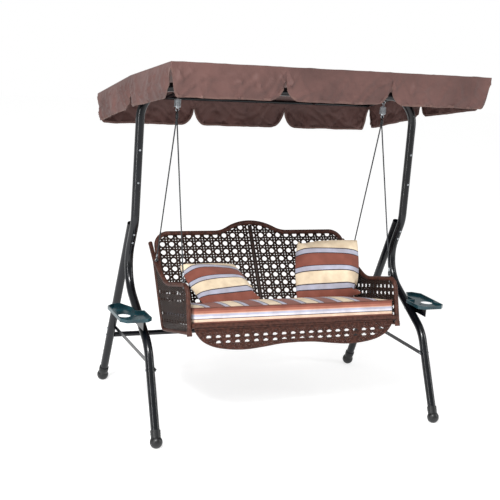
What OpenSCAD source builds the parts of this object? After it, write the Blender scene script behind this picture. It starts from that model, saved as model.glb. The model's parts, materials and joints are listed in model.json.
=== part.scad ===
// Two-seat canopy swing: a tube frame with curved legs, a tilting fabric canopy, two side trays,
// and a wicker seat that hangs from the top beam on two springs and four ropes.
// X runs along the beam, Y to the back, Z up. The origin is on the floor under the middle of the beam.

/* [Frame] */
// Middle of the swing to the axis of each side frame
frame_half_w = 888; // [860:1:960]
// Height of the top beam's axis
beam_z = 1924; // [1900:1:2000]
// Outside diameter of the frame tube
tube_d = 50; // [44:1:51]
// Wall of the frame tube
tube_wall = 1.5; // [1:0.1:3]
// Bend radius of the elbow at the top of each post
elbow_r = 180; // [150:1:200]
// Height of the seam between the upper post and the front leg
seam_z = 1407; // [1380:1:1480]
// Distance of the front feet in front of the beam
front_foot_y = 600; // [540:1:640]
// Height of the flat bars that tie the front and rear legs
strut_z = 390; // [340:1:420]
// Height of the tube that ties the two rear legs
stretcher_z = 340; // [300:1:420]
// Radius of the ball on each foot cap
foot_r = 36; // [32:1:42]

/* [Trays] */
// Width of a side tray beyond the post's inner face
tray_w = 183; // [170:1:200]
// Length of a side tray, front to back
tray_l = 340; // [330:1:370]
// Height of the tray's underside
tray_z = 648; // [640:1:655]
// Diameter of the cup hole
cup_d = 75; // [60:1:85]

/* [Canopy] */
// How far the canopy's sides hang out past the axis of each side frame
canopy_overhang = 67; // [62:1:160]
// Distance of the canopy's front and back edges from the beam
canopy_reach = 693; // [600:1:760]
// Height of the canopy's ridge above the top of the beam
ridge_rise = 27.6; // [27:0.1:35]
// Slope of the canopy in front of the ridge, degrees upwards
front_slope = 10.4; // [4:0.1:14]
// Slope of the canopy behind the ridge, degrees downwards
rear_slope = 13.7; // [6:0.1:18]
// Drop of the valance below the canopy's edge
valance_drop = 178; // [150:1:220]
// Diameter of the canopy rails
rail_d = 20; // [18:1:24]

/* [Seat] */
// Middle of the seat to the axis of each arm tube, which is also the line of the ropes
arm_x = 670; // [640:1:700]
// How far the seat leans back as it hangs, degrees
recline = 14; // [10:1:16]
// Height of the seat's front rail
seat_z = 630; // [600:1:660]
// Distance of the seat's front rail in front of the beam
seat_y = 420; // [400:1:440]
// Depth of the seat from the front rail to the back
seat_depth = 490; // [460:1:510]
// Lean of the back from the seat, degrees
back_lean = 19; // [16:1:22]
// Height of the back's shoulders, along the back
back_h = 572; // [540:1:600]
// Rise of the hump above the shoulders
hump_rise = 66; // [50:1:80]
// Height of the arms above the seat rails
arm_h = 232; // [220:1:250]
// Diameter of the wicker-wrapped tubes of the arms and the back
arm_d = 26; // [22:1:27]
// Thickness of the woven panels
weave_t = 6; // [4:1:8]
// Pitch of the open cane pattern across the back
cane_pitch_x = 59.5; // [54:0.5:70]
// Pitch of the open cane pattern up the back
cane_pitch_z = 53.5; // [50:0.5:64]
// Width of one opening of the cane pattern
cane_hole_d = 31; // [24:1:36]
// Thickness of the seat cushion at its crown
cushion_t = 94; // [80:1:100]
// Side of a square scatter pillow
pillow_w = 400; // [360:1:420]
// Thickness of a scatter pillow
pillow_t = 130; // [100:1:140]

/* [Hanging gear] */
// Diameter of the ropes
rope_d = 8; // [6:1:10]
// Outside diameter of the spring coil
spring_d = 40; // [36:1:44]
// Wire of the spring
spring_wire = 6; // [5:0.5:7]

/* [Hidden] */
$fn = 48;

fit = 0.3;              // gap between pieces that lie against each other
over = 1;               // how far a cut runs past the face it opens
seam = 0.05;            // hairline between the straights and the bends of a tube
key_l = 1.5;            // half length of the key that bridges it
tube_r = tube_d / 2;
bore_r = tube_r - tube_wall;
bolt_r = 3;
hole_r = bolt_r + 0.3;
head_r = 6.5;
head_h = 4;
nut_h = 5;

steel_black = "#1e2024";
zinc = "#b9bcc0";
wicker = "#3b2a26";
wicker_red = "#5e3f37";
plastic_black = "#16181a";
fabric_brown = "#73504a";

// Front leg: a straight foot, a knee, a slope under the tray, a waist and a neck, in Y and Z.
knee = [-369, 513];
waist = [143, 809];
neck = [0, 1141];
foot_z = foot_r - 3;                       // the ball is cut flat by the floor
front_foot = [-front_foot_y, foot_z];
neck_dir = (waist - neck) / norm(waist - neck);
neck_side = [-neck_dir[1], neck_dir[0]];   // square to the neck, to the back
leg_gap = tube_d + fit;
leg_bends = [0, 220, 228, 200, 0];
front_leg_path = [front_foot, knee, waist, neck, [0, seam_z]];

// Rear leg: straight, side by side with the neck of the front leg.
rear_base = neck + neck_side * leg_gap;
rear_foot = rear_base + neck_dir * (rear_base[1] - foot_z) / -neck_dir[1];
rear_top = rear_base + neck_dir * 43;
function on_rear(z) = rear_base[0] + (rear_base[1] - z) * neck_dir[0] / -neck_dir[1];
function on_shin(z) = front_foot[0] + (z - foot_z) * (knee[0] - front_foot[0]) / (knee[1] - foot_z);
function on_slope(y) = waist[1] + (y - waist[0]) * (waist[1] - knee[1]) / (waist[0] - knee[0]);

// Top beam and its joints
elbow_tail = 90;
beam_half = frame_half_w - elbow_r - elbow_tail;
sleeve_r = bore_r - fit;
bolt_high_z = seam_z + 156;
bolt_low_z = seam_z - 32;
joint_stations = [70, 128];                // bolts along the neck, from its upper end

// Trays
tray_floor = 5;
tray_rim = 7;
tray_h = 20;
tray_in = frame_half_w - tube_r + 1;
tray_out = tray_in + tray_w;
tray_front = -365;
tray_back = tray_front + tray_l;
tray_slot = frame_half_w + tube_r + 3;     // inner edge beside the leg
leg_slope = atan2(waist[1] - knee[1], waist[0] - knee[0]);
slot_front = knee[0] + (tray_z - 3.8 - tube_r / cos(leg_slope) - knee[1]) / tan(leg_slope);
bracket_t = 4;
bracket_reach = 36;                        // width of the plate under the tray
bracket_l = 116;
bracket_side_l = 196;
bracket_bolt_y = -196;
tray_bolt_ys = [-250, -325];
tray_bolt_x = frame_half_w + tube_r + 22;
cup_x = frame_half_w + 106;
cup_y = -225;

// Canopy
rail_r = rail_d / 2;
cloth_t = 2.5;
canopy_half_w = frame_half_w + canopy_overhang;
ridge_z = beam_z + tube_r + ridge_rise;    // underside of the fabric at the ridge
function roof(y) = ridge_z - (y < 0 ? y * tan(front_slope) : y * tan(rear_slope));
rail_y = canopy_reach - cloth_t - fit - rail_r;
rail_drop = (rail_r + fit) / cos(rear_slope);
function rail_z(y) = roof(y) - rail_drop;
side_rail_x = canopy_half_w - cloth_t - 7.5 - rail_r;
spine_x = 520;
rail_bend = 60;                            // bend radius of the rails over the beam
rail_reach = rail_y + rail_r * (1 - sin(rear_slope)) - fit;
pivot_z = rail_z(0) - rail_bend * (1 / cos((front_slope + rear_slope) / 2) - 1);
pivot_r = 4;
pivot_gap = 0.08;
ear_t = 4;
ear_r = 9;
saddle_t = 4;
saddle_w = 40;
notch_drop = 68;                           // top of the notch between two scallops
scallop_w = 75;                            // width of a scallop's rounded corner

// Seat, in its own frame: X along the seat, Y to its back, Z square to the seat
arm_r = arm_d / 2;
arm_wall = 1.5;
rail_tube_r = 14;
rear_rail_r = 12;
base_t = -40;
edge_r = 9;
arm_path = [
    [0, base_t], [14, arm_h], [seat_depth - 105, arm_h], [seat_depth + 110, arm_h + 134],
    [seat_depth + 200, arm_h + 253]
];
arm_bends = [0, 62, 220, 80, 0];
edge_top = [seat_depth + 139, arm_h + 173];             // where the rear edge bar runs into the arm tube
edge_path = [[0, base_t], [edge_top[0] - (edge_top[1] - base_t) * tan(back_lean), base_t], edge_top];
edge_bends = [0, 50, 0];
back_r = 14;
back_half_w = arm_x - arm_r - 0.5 - back_r;
corner_r = 85;
hump_half = 250;
hump_turn = 2 * atan(hump_rise / hump_half);
hump_inner_r = 180;
hump_outer_r = hump_half / sin(hump_turn) - hump_inner_r - 12;
hump_foot = hump_half - hump_inner_r * tan(hump_turn / 2);
hump_peak = back_h + hump_foot * tan(hump_turn);
back_path = [
    [-back_half_w, -10], [-back_half_w, back_h], [-hump_foot, back_h], [0, hump_peak],
    [hump_foot, back_h], [back_half_w, back_h], [back_half_w, -10]
];
back_bends = [0, corner_r, hump_inner_r, hump_outer_r, hump_inner_r, corner_r, 0];
panel_inset = back_r + fit;
deck_t = 9;
deck_top = rail_tube_r - fit;
deck_half_w = arm_x - arm_r - 4;
cushion_half_w = arm_x - 30;
cushion_base = rail_tube_r + fit;
apron_t = 8;
cross_r = 8;

// Hanging gear
hook_z = beam_z - tube_r - 24;             // the eye's wire, which the seat swings about
eye_r = 10;
eye_wire = 3;
eye_shank_r = 4;
loop_r = 9;
loop_wire = 2.5;
top_loop_z = hook_z + eye_wire + fit + loop_wire - loop_r;
spring_h = 50;
spring_top = top_loop_z - loop_r - 3;
spring_bottom = spring_top - spring_h;
spring_r = (spring_d - spring_wire) / 2;
plug_r = spring_r - spring_wire / 2 - fit;
plug_h = 12;
low_loop_z = spring_bottom - 3 - loop_r;
head_loop_z = low_loop_z - loop_r - 3;
head_len = 30;
apex_z = head_loop_z - loop_r - 2 - head_len;
rope_r = rope_d / 2;
rope_spread = 4.4;                         // each rope leaves the head this far from its middle
front_hold = [83, arm_h];
rear_hold = arm_path[3] - 20 * (arm_path[3] - arm_path[2]) / norm(arm_path[3] - arm_path[2]);
ring_r = 8;
ring_wire = 2.5;
hold_lift = arm_r + fit + ring_wire + ring_r;

// ---------- helpers ----------

function dir2(a, b) = (b - a) / norm(b - a);
function left_of(d) = [-d[1], d[0]];
function turn(d0, d1) = atan2(d0[0] * d1[1] - d0[1] * d1[0], d0 * d1);
function bend_cut(p, r, i) = i == 0 || i == len(p) - 1 ? 0
    : r[i] * tan(abs(turn(dir2(p[i - 1], p[i]), dir2(p[i], p[i + 1]))) / 2);

// The bend at point i: [centre, angle of its start, signed turn]
function bend(p, r, i) =
    let (d0 = dir2(p[i - 1], p[i]), t = turn(d0, dir2(p[i], p[i + 1])))
    [p[i] - d0 * bend_cut(p, r, i) + sign(t) * r[i] * left_of(d0),
     atan2(d0[1], d0[0]) - sign(t) * 90, t];

function bend_points(p, r, i, steps) =
    let (b = bend(p, r, i))
    [for (k = [0:steps]) let (a = b[1] + b[2] * k / steps) b[0] + r[i] * [cos(a), sin(a)]];

function path_points(p, r, steps = 6) =
    [for (i = [0:len(p) - 1]) each i == 0 || i == len(p) - 1 ? [p[i]] : bend_points(p, r, i, steps)];

function reversed(v) = [for (i = [len(v) - 1:-1:0]) v[i]];
function middle(v) = [for (i = [1:len(v) - 2]) v[i]];

// Where the line from a to b meets the line from c to d
function meet(a, b, c, d) =
    let (n = left_of(d - c)) a + (b - a) * ((c - a) * n) / ((b - a) * n);

// A polygon that runs anticlockwise, moved inwards by d
function inset(p, d) = [for (i = [0:len(p) - 1])
    let (n0 = left_of(dir2(p[(i + len(p) - 1) % len(p)], p[i])),
         n1 = left_of(dir2(p[i], p[(i + 1) % len(p)])))
    p[i] + d * (n0 + n1) / (1 + n0 * n1)];

module ring_2d(outer, inner) {
    difference() {
        circle(outer);
        if (inner > 0) circle(inner);
    }
}

// A tube along a flat path with a bend radius at each point. A hairline seam parts each straight
// from its bends, and a short key inside the wall bridges it, so the tube is one solid.
module bent_tube(p, r, outer, inner = 0) {
    key_out = inner > 0 ? outer - (outer - inner) / 3 : outer * 0.7;
    key_in = inner > 0 ? inner + (outer - inner) / 3 : 0;
    for (i = [0:len(p) - 2]) {
        d = dir2(p[i], p[i + 1]);
        first = i == 0 ? 0 : bend_cut(p, r, i) + seam;
        last = norm(p[i + 1] - p[i]) - (i == len(p) - 2 ? 0 : bend_cut(p, r, i + 1) + seam);
        translate([p[i][0], p[i][1], 0]) rotate([0, 90, atan2(d[1], d[0])]) {
            translate([0, 0, first]) linear_extrude(last - first) ring_2d(outer, inner);
            if (i > 0) translate([0, 0, first - key_l]) linear_extrude(2 * key_l) ring_2d(key_out, key_in);
            if (i < len(p) - 2) translate([0, 0, last - key_l])
                linear_extrude(2 * key_l) ring_2d(key_out, key_in);
        }
    }
    for (i = [1:1:len(p) - 2]) {
        b = bend(p, r, i);
        translate([b[0][0], b[0][1], 0]) rotate([0, 0, min(b[1], b[1] + b[2])])
            rotate_extrude(angle = abs(b[2])) translate([r[i], 0]) ring_2d(outer, inner);
    }
}

// Flat paths are drawn in X and Y: side_on stands them in Y and Z, front_on in X and Z.
module side_on(x) { translate([x, 0, 0]) rotate([90, 0, 90]) children(); }
module front_on() { rotate([90, 0, 0]) children(); }
module along_x() { rotate([0, 90, 0]) children(); }
module in_seat() { translate([0, -seat_y, seat_z]) rotate([-recline, 0, 0]) children(); }
module in_back() { in_seat() translate([0, seat_depth, 0]) rotate([-back_lean, 0, 0]) children(); }
module torus(r, wire) { rotate_extrude() translate([r, 0]) circle(wire); }
module scale_side(s) { if (s > 0) children(); else mirror([1, 0, 0]) children(); }

// A point of the seat's own frame, as Y and Z of the swing
function seat_point(p) = [
    p[0] * cos(recline) + p[1] * sin(recline) - seat_y,
    p[1] * cos(recline) - p[0] * sin(recline) + seat_z
];

// ---------- fasteners: [place, turn, grip], the head at the place and the nut past the grip ----------

from_front = [-90, 0, 0];
function from_side(s) = [0, -90 * s, 0];
function post_bolts(s) = [for (z = [bolt_high_z, bolt_low_z])
    [[s * frame_half_w, -tube_r, z], from_front, tube_d]];
function joint_bolts(s) = [for (d = joint_stations)
    let (p = neck + neck_dir * d - neck_side * tube_r)
    [[s * frame_half_w, p[0], p[1]], [-atan2(neck_side[0], neck_side[1]), 0, 0], tube_d + leg_gap]];
function strut_bolts(s, y) = [
    [[s * (frame_half_w + tube_r), y, strut_z], from_side(s), tube_d + fit + bracket_t]];
function stretcher_bolts(s) = [
    [[s * (frame_half_w + tube_r), on_rear(stretcher_z), stretcher_z], from_side(s), tube_d + fit + 6]];
function bracket_bolts(s) = [
    [[s * (frame_half_w + tube_r + fit + bracket_t), bracket_bolt_y, on_slope(bracket_bolt_y)],
     from_side(s), tube_d + fit + bracket_t]];
function tray_bolts(s) = [for (y = tray_bolt_ys)
    [[s * tray_bolt_x, y, tray_z + tray_floor], [180, 0, 0], tray_floor + bracket_t]];
function sleeve_bolts(s) = [for (x = [beam_half - 25, beam_half + 18])
    [[s * x, -tube_r, beam_z], from_front, tube_d]];
function saddle_bolts(s) = [
    [[s * spine_x, -tube_r - saddle_t, beam_z], from_front, tube_d + 2 * saddle_t]];
function side_bolts(s) = concat(
    post_bolts(s), joint_bolts(s), strut_bolts(s, on_shin(strut_z)), strut_bolts(s, on_rear(strut_z)),
    stretcher_bolts(s), bracket_bolts(s), tray_bolts(s), sleeve_bolts(s), saddle_bolts(s));

module at_bolts(list) { for (b = list) translate(b[0]) rotate(b[1]) children(); }
module bolt_holes(list) { for (b = list) translate(b[0]) rotate(b[1])
    translate([0, 0, -over]) cylinder(r = hole_r, h = b[2] + 2 * over); }
module bolt(grip) {
    cylinder(r = bolt_r, h = grip + nut_h + 3);
    translate([0, 0, -head_h]) cylinder(r = head_r, h = head_h, $fn = 6);
}
module nut(r = bolt_r) {
    difference() {
        cylinder(r = r + 3.2, h = nut_h, $fn = 6);
        translate([0, 0, -over]) cylinder(r = r + 0.1, h = nut_h + 2 * over);
    }
}

// Hole through the top tube for the eye bolt of a spring
module eye_bolt_hole(s) {
    translate([s * arm_x, 0, beam_z - tube_r - over]) cylinder(r = eye_shank_r + fit, h = tube_d + 2 * over);
}

// ---------- frame ----------

module top_beam() {
    color(steel_black) difference() {
        translate([-beam_half + fit / 2, 0, beam_z]) along_x()
            linear_extrude(2 * beam_half - fit) ring_2d(tube_r, bore_r);
        for (s = [-1, 1]) bolt_holes(concat(sleeve_bolts(s), saddle_bolts(s)));
        for (s = [-1, 1]) eye_bolt_hole(s);
    }
}

module upper_post(s) {
    path = [[frame_half_w, seam_z + fit / 2], [frame_half_w, beam_z], [beam_half + fit / 2, beam_z]];
    color(steel_black) difference() {
        scale_side(s) front_on() bent_tube(path, [0, elbow_r, 0], tube_r, bore_r);
        bolt_holes(concat(post_bolts(s), sleeve_bolts(s), saddle_bolts(s)));
        eye_bolt_hole(s);
    }
}

module front_leg(s) {
    path = [for (i = [0:4]) i < 4 ? front_leg_path[i] : front_leg_path[i] - [0, fit / 2]];
    color(steel_black) difference() {
        side_on(s * frame_half_w) bent_tube(path, leg_bends, tube_r, bore_r);
        bolt_holes(concat([post_bolts(s)[1]], joint_bolts(s), strut_bolts(s, on_shin(strut_z)),
            bracket_bolts(s)));
    }
}

module rear_leg(s) {
    color(steel_black) difference() {
        side_on(s * frame_half_w) bent_tube([rear_foot, rear_top], [0, 0], tube_r, bore_r);
        bolt_holes(concat(joint_bolts(s), strut_bolts(s, on_rear(strut_z)), stretcher_bolts(s)));
    }
}

// Tubes inside the seams of each post and of the beam
module post_sleeves() {
    color(steel_black) for (s = [-1, 1]) difference() {
        translate([s * frame_half_w, 0, bolt_low_z - 30]) linear_extrude(bolt_high_z - bolt_low_z + 55)
            ring_2d(sleeve_r, sleeve_r - 2);
        bolt_holes(post_bolts(s));
    }
}

module beam_sleeves() {
    color(steel_black) for (s = [-1, 1]) difference() {
        translate([s * (beam_half - 4), 0, beam_z]) along_x()
            translate([0, 0, -42]) linear_extrude(84) ring_2d(sleeve_r, sleeve_r - 2);
        bolt_holes(sleeve_bolts(s));
    }
}

// Cross tube with a closed end at each rear leg
module rear_stretcher() {
    half = frame_half_w - tube_r - fit;
    color(steel_black) difference() {
        translate([-half, on_rear(stretcher_z), stretcher_z]) along_x() difference() {
            cylinder(r = 16, h = 2 * half);
            translate([0, 0, 6]) cylinder(r = 14.5, h = 2 * half - 12);
        }
        for (s = [-1, 1]) bolt_holes(stretcher_bolts(s));
    }
}

module leg_strut(s) {
    y0 = on_shin(strut_z);
    y1 = on_rear(strut_z);
    x = s * (frame_half_w - tube_r - fit - bracket_t / 2);
    color(steel_black) difference() {
        side_on(x) translate([0, 0, -bracket_t / 2]) linear_extrude(bracket_t) {
            translate([y0, strut_z - 11]) square([y1 - y0, 22]);
            for (y = [y0, y1]) translate([y, strut_z]) circle(11);
        }
        bolt_holes(concat(strut_bolts(s, y0), strut_bolts(s, y1)));
    }
}

// Moulded cap: a ball cut flat by the floor and a ribbed collar, on the end of a leg
module foot_cap(s, foot, up) {
    color(plastic_black) difference() {
        union() {
            translate([s * frame_half_w, foot[0], foot[1]]) sphere(foot_r);
            side_on(s * frame_half_w) bent_tube([foot, foot + up * 66], [0, 0], tube_r + 3.2);
            side_on(s * frame_half_w) for (d = [42, 51, 60])
                bent_tube([foot + up * d, foot + up * (d + 4)], [0, 0], tube_r + 4.6);
        }
        side_on(s * frame_half_w) bent_tube([foot - up * 3, foot + up * 80], [0, 0], tube_r + fit / 2);
        translate([s * frame_half_w, foot[0], -foot_r]) cube(2 * foot_r, center = true);
    }
}

module tray(s) {
    outline = [
        [tray_in, slot_front], [tray_in, tray_front + 30], [tray_in + 32, tray_front],
        [tray_out - 30, tray_front], [tray_out, tray_front + 32], [tray_out, tray_back - 44],
        [tray_out - 44, tray_back], [tray_slot + 44, tray_back], [tray_slot, tray_back - 90],
        [tray_slot, slot_front]
    ];
    color(plastic_black) difference() {
        translate([0, 0, tray_z]) scale_side(s) difference() {
            linear_extrude(tray_h) polygon(outline);
            translate([0, 0, tray_floor]) linear_extrude(tray_h) polygon(inset(outline, tray_rim));
            translate([cup_x, cup_y, -over]) cylinder(d = cup_d, h = tray_h);
        }
        bolt_holes(tray_bolts(s));
    }
}

// Angle plate: one leg is bolted to the side of the front leg, the other carries the tray
module tray_bracket(s) {
    x = frame_half_w + tube_r + fit;
    z = on_slope(bracket_bolt_y);
    color(steel_black) difference() {
        scale_side(s) {
            translate([x, tray_bolt_ys[1] - 25, z - 16])
                cube([bracket_t, bracket_side_l, tray_z - z + 16]);
            translate([x, tray_bolt_ys[1] - 25, tray_z - bracket_t])
                cube([bracket_reach, bracket_l, bracket_t]);
        }
        bolt_holes(concat(bracket_bolts(s), tray_bolts(s)));
    }
}

module frame_bolts() {
    color(zinc) for (s = [-1, 1]) for (b = side_bolts(s)) at_bolts([b]) bolt(b[2]);
}

module frame_nuts() {
    color(zinc) {
        for (s = [-1, 1]) for (b = side_bolts(s))
            at_bolts([b]) translate([0, 0, b[2]]) nut();
        for (s = [-1, 1]) translate([s * arm_x, 0, beam_z + tube_r]) nut(eye_shank_r);
    }
}

module eye_bolts() {
    color(zinc) for (s = [-1, 1]) translate([s * arm_x, 0, 0]) {
        translate([0, 0, hook_z + eye_r]) front_on() torus(eye_r, eye_wire);
        translate([0, 0, hook_z + 2 * eye_r - 1]) 
            cylinder(r = eye_shank_r, h = beam_z + tube_r + 9 - hook_z - 2 * eye_r);
    }
}

// ---------- canopy ----------

// Saddle over the beam with two ears that hold the canopy's pivot
module tilt_brackets() {
    color(steel_black) for (s = [-1, 1]) difference() {
        translate([s * spine_x, 0, 0]) {
            translate([-saddle_w / 2, 0, beam_z]) along_x() cylinder(r = tube_r + saddle_t, h = saddle_w);
            for (e = [-1, 1]) translate([e * (rail_r + fit + ear_t / 2) - ear_t / 2, 0, 0]) {
                translate([0, 2 - ear_r, beam_z]) cube([ear_t, 2 * ear_r - 4, pivot_z - beam_z]);
                translate([0, 0, pivot_z]) along_x() cylinder(r = ear_r, h = ear_t);
            }
        }
        translate([s * spine_x - saddle_w, 0, beam_z]) along_x()
            cylinder(r = tube_r + fit, h = 2 * saddle_w);
        translate([s * spine_x - saddle_w, -100, beam_z - 200 - 9]) cube([2 * saddle_w, 200, 200]);
        bolt_holes(saddle_bolts(s));
        translate([s * spine_x - saddle_w, 0, pivot_z]) along_x()
            cylinder(r = pivot_r + pivot_gap, h = 2 * saddle_w);
    }
}

module tilt_bolts() {
    reach = rail_r + fit + ear_t;
    color(zinc) for (s = [-1, 1]) translate([s * spine_x, 0, pivot_z]) scale_side(s) along_x() {
        translate([0, 0, -reach - head_h]) cylinder(r = 8, h = head_h, $fn = 6);
        translate([0, 0, -reach]) cylinder(r = pivot_r, h = 2 * reach + 8);
        translate([0, 0, reach]) nut(pivot_r);
    }
}

module canopy_end_rail(y) {
    half = side_rail_x - rail_r - fit;
    color(steel_black) translate([-half, y, rail_z(y)]) along_x()
        linear_extrude(2 * half) ring_2d(rail_r, rail_r - 1.2);
}

function rail_path(reach) = [[-reach, rail_z(-reach)], [0, rail_z(0)], [reach, rail_z(reach)]];

module canopy_side_rail(s) {
    color(steel_black) side_on(s * side_rail_x)
        bent_tube(rail_path(rail_reach), [0, rail_bend, 0], rail_r, rail_r - 1.2);
}

// Rail over the beam, from the front rail to the rear rail, that turns on the saddle's bolt
module canopy_spine(s) {
    color(steel_black) difference() {
        side_on(s * spine_x)
            bent_tube(rail_path(rail_y - rail_r - fit), [0, rail_bend, 0], rail_r, rail_r - 1.5);
        translate([s * spine_x - saddle_w, 0, pivot_z]) along_x()
            cylinder(r = pivot_r + pivot_gap, h = 2 * saddle_w);
    }
}

// Lower edge of one scallop from a to b: [place along the edge, drop below it]
function scallop(a, b, start, end, w0, w1) = concat(
    [for (k = [0:5]) [a + w0 * (1 - cos(18 * k)), start + (valance_drop - start) * sin(18 * k)]],
    [for (k = [5:-1:0]) [b - w1 * (1 - cos(18 * k)), end + (valance_drop - end) * sin(18 * k)]]);

module canopy_cover() {
    half = canopy_half_w;
    third = 2 * half / 3;
    front_edge = concat(
        scallop(-half, -third / 2, 20, notch_drop, 40, scallop_w),
        scallop(-third / 2, third / 2, notch_drop, notch_drop, scallop_w, scallop_w),
        scallop(third / 2, half, notch_drop, 20, scallop_w, 40));
    side_edge = concat(
        scallop(-canopy_reach, 20, 12, notch_drop, 150, scallop_w),
        scallop(20, canopy_reach, notch_drop, 12, scallop_w, 90));
    color(fabric_brown) {
        side_on(-half) linear_extrude(2 * half) polygon([
            [-canopy_reach, roof(-canopy_reach)], [0, ridge_z], [canopy_reach, roof(canopy_reach)],
            [canopy_reach, roof(canopy_reach) + cloth_t], [0, ridge_z + cloth_t],
            [-canopy_reach, roof(-canopy_reach) + cloth_t]]);
        for (y = [-canopy_reach, canopy_reach - cloth_t])
            translate([0, y + cloth_t, roof(y < 0 ? -canopy_reach : canopy_reach) + cloth_t])
                front_on() linear_extrude(cloth_t) polygon(concat(
                    [[half, 0], [-half, 0]], [for (p = front_edge) [p[0], -p[1]]]));
        for (x = [-half, half - cloth_t]) side_on(x) linear_extrude(cloth_t) polygon(concat(
            [[canopy_reach, roof(canopy_reach) + cloth_t], [0, ridge_z + cloth_t],
             [-canopy_reach, roof(-canopy_reach) + cloth_t]],
            [for (p = side_edge) [p[0], roof(p[0]) + cloth_t - p[1]]]));
    }
}

// ---------- hanging gear ----------

module spring_top_hooks() {
    color(zinc) for (s = [-1, 1]) translate([s * arm_x, 0, 0]) {
        translate([0, 0, top_loop_z]) along_x() torus(loop_r, loop_wire);
        translate([0, 0, spring_top - plug_h]) cylinder(r = plug_r, h = plug_h);
        translate([0, 0, spring_top - 1]) cylinder(r = 3.5, h = top_loop_z - loop_r - spring_top + 1);
    }
}

module spring_bottom_hooks() {
    color(zinc) for (s = [-1, 1]) translate([s * arm_x, 0, 0]) {
        translate([0, 0, low_loop_z]) front_on() torus(loop_r, loop_wire);
        translate([0, 0, spring_bottom]) cylinder(r = plug_r, h = plug_h);
        translate([0, 0, low_loop_z + loop_r]) cylinder(r = 3.5, h = spring_bottom + 1 - low_loop_z - loop_r);
    }
}

// Close-wound coil: rings of a wire swept up a helix
module spring(s) {
    turns = 7;
    per_turn = 20;
    sides = 8;
    rings = turns * per_turn;
    rise = spring_h - spring_wire;
    wire_r = spring_wire / 2;
    points = [for (i = [0:rings]) for (j = [0:sides - 1])
        let (a = 360 * i / per_turn, b = 360 * j / sides, r = spring_r + wire_r * cos(b))
        [r * cos(a), r * sin(a), wire_r + rise * i / rings + wire_r * sin(b) * 0.98]];
    walls = [for (i = [0:rings - 1]) for (j = [0:sides - 1])
        let (k = (j + 1) % sides)
        [i * sides + j, i * sides + k, (i + 1) * sides + k, (i + 1) * sides + j]];
    ends = [[for (j = [sides - 1:-1:0]) j], [for (j = [0:sides - 1]) rings * sides + j]];
    color(zinc) translate([s * arm_x, 0, spring_bottom]) polyhedron(points, concat(walls, ends));
}

// Rope eye through the spring's hook and the crimp that gathers both ropes
module rope_head(s) {
    color(steel_black) translate([s * arm_x, 0, 0]) {
        translate([0, 0, head_loop_z]) along_x() torus(loop_r, 3);
        translate([0, 0, apex_z]) cylinder(r = 9, h = head_loop_z - loop_r - apex_z);
    }
}

// A straight rope in the plane of the arm, from below the head to the eye it hooks on
module rope(s, y0, end) {
    start = [y0, apex_z - fit - rope_r * 0.4];
    d = dir2(end, start);
    near = end + d * (ring_r + 9);
    color("#2b2e31") {
        side_on(s * arm_x) bent_tube([near, start], [0, 0], rope_r);
        side_on(s * arm_x) bent_tube([end + d * (ring_r + 5), end + d * (ring_r + 24)], [0, 0], rope_r + 1.5);
        translate([s * arm_x, end[0] + d[0] * (ring_r - 1), end[1] + d[1] * (ring_r - 1)])
            rotate([-atan2(d[0], d[1]), 0, 0]) along_x() torus(loop_r, 2.5);
    }
}

function hold_centre(hold) =
    let (p = seat_point(hold)) p + dir2(p, [0, apex_z]) * hold_lift;

module rope_eyes() {
    color(zinc) for (s = [-1, 1]) for (hold = [front_hold, rear_hold])
        let (p = seat_point(hold), d = dir2(p, [0, apex_z]))
        translate([s * arm_x, p[0], p[1]]) rotate([-atan2(d[0], d[1]), 0, 0]) {
            translate([0, 0, hold_lift]) front_on() torus(ring_r, ring_wire);
            translate([0, 0, -arm_r - nut_h - 3])
                cylinder(r = bolt_r, h = arm_r + nut_h + 3 + hold_lift - ring_r + 1);
            translate([0, 0, -arm_r - nut_h - 1.2]) cylinder(r = 6, h = nut_h, $fn = 6);
        }
}

// ---------- seat ----------

module cross_tube(half, r) {
    translate([-half, 0, 0]) along_x() linear_extrude(2 * half) ring_2d(r, r - 1.5);
}

module seat_front_rail() {
    color(wicker_red) in_seat() cross_tube(arm_x - arm_r - 0.6, rail_tube_r);
}

module seat_rear_rail() {
    color(wicker) in_seat() translate([0, seat_depth, 0])
        cross_tube(back_half_w - back_r - fit, rear_rail_r);
}

module seat_cross_bars() {
    z = deck_top - deck_t - fit - cross_r;
    color(steel_black) in_seat() for (x = [-420, 0, 420]) translate([x, rail_tube_r + fit, z])
        rotate([-90, 0, 0]) cylinder(r = cross_r, h = seat_depth - rail_tube_r - rear_rail_r - 2 * fit);
}

// Arm tube from the base up the front, along the top and up beside the back, closed by an edge bar
module arm_frame(s) {
    color(wicker) in_seat() difference() {
        side_on(s * arm_x) {
            bent_tube(arm_path, arm_bends, arm_r);
            bent_tube(edge_path, edge_bends, edge_r);
            translate([0, base_t]) sphere(arm_r + 2);
        }
        for (hold = [front_hold, rear_hold])
            let (d = dir2(seat_point(hold), [0, apex_z]), lean = atan2(d[0], d[1]) - recline)
            translate([s * arm_x, hold[0], hold[1]]) rotate([-lean, 0, 0])
                cylinder(r = hole_r, h = 3 * arm_r, center = true);
    }
}

module side_weave(s) {
    corner = meet(arm_path[2], arm_path[3], edge_path[1], edge_path[2]);
    arm = path_points([arm_path[0], arm_path[1], arm_path[2], corner], arm_bends);
    edge = path_points([edge_path[0], edge_path[1], corner], edge_bends);
    region = inset(concat(edge, reversed(middle(arm))), arm_r + fit);
    color(wicker) in_seat() side_on(s * arm_x) translate([0, 0, -weave_t / 2])
        linear_extrude(weave_t) difference() {
            polygon(region);
            for (hold = [front_hold, rear_hold]) translate(hold) circle(arm_r + nut_h + 5);
            for (row = [0:4]) for (col = [0:5])
                translate([70 + 48 * col, 10 + 42 * row]) square([8, 14]);
        }
}

module back_frame() {
    color(wicker_red) in_back() front_on() bent_tube(back_path, back_bends, back_r);
}

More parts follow.
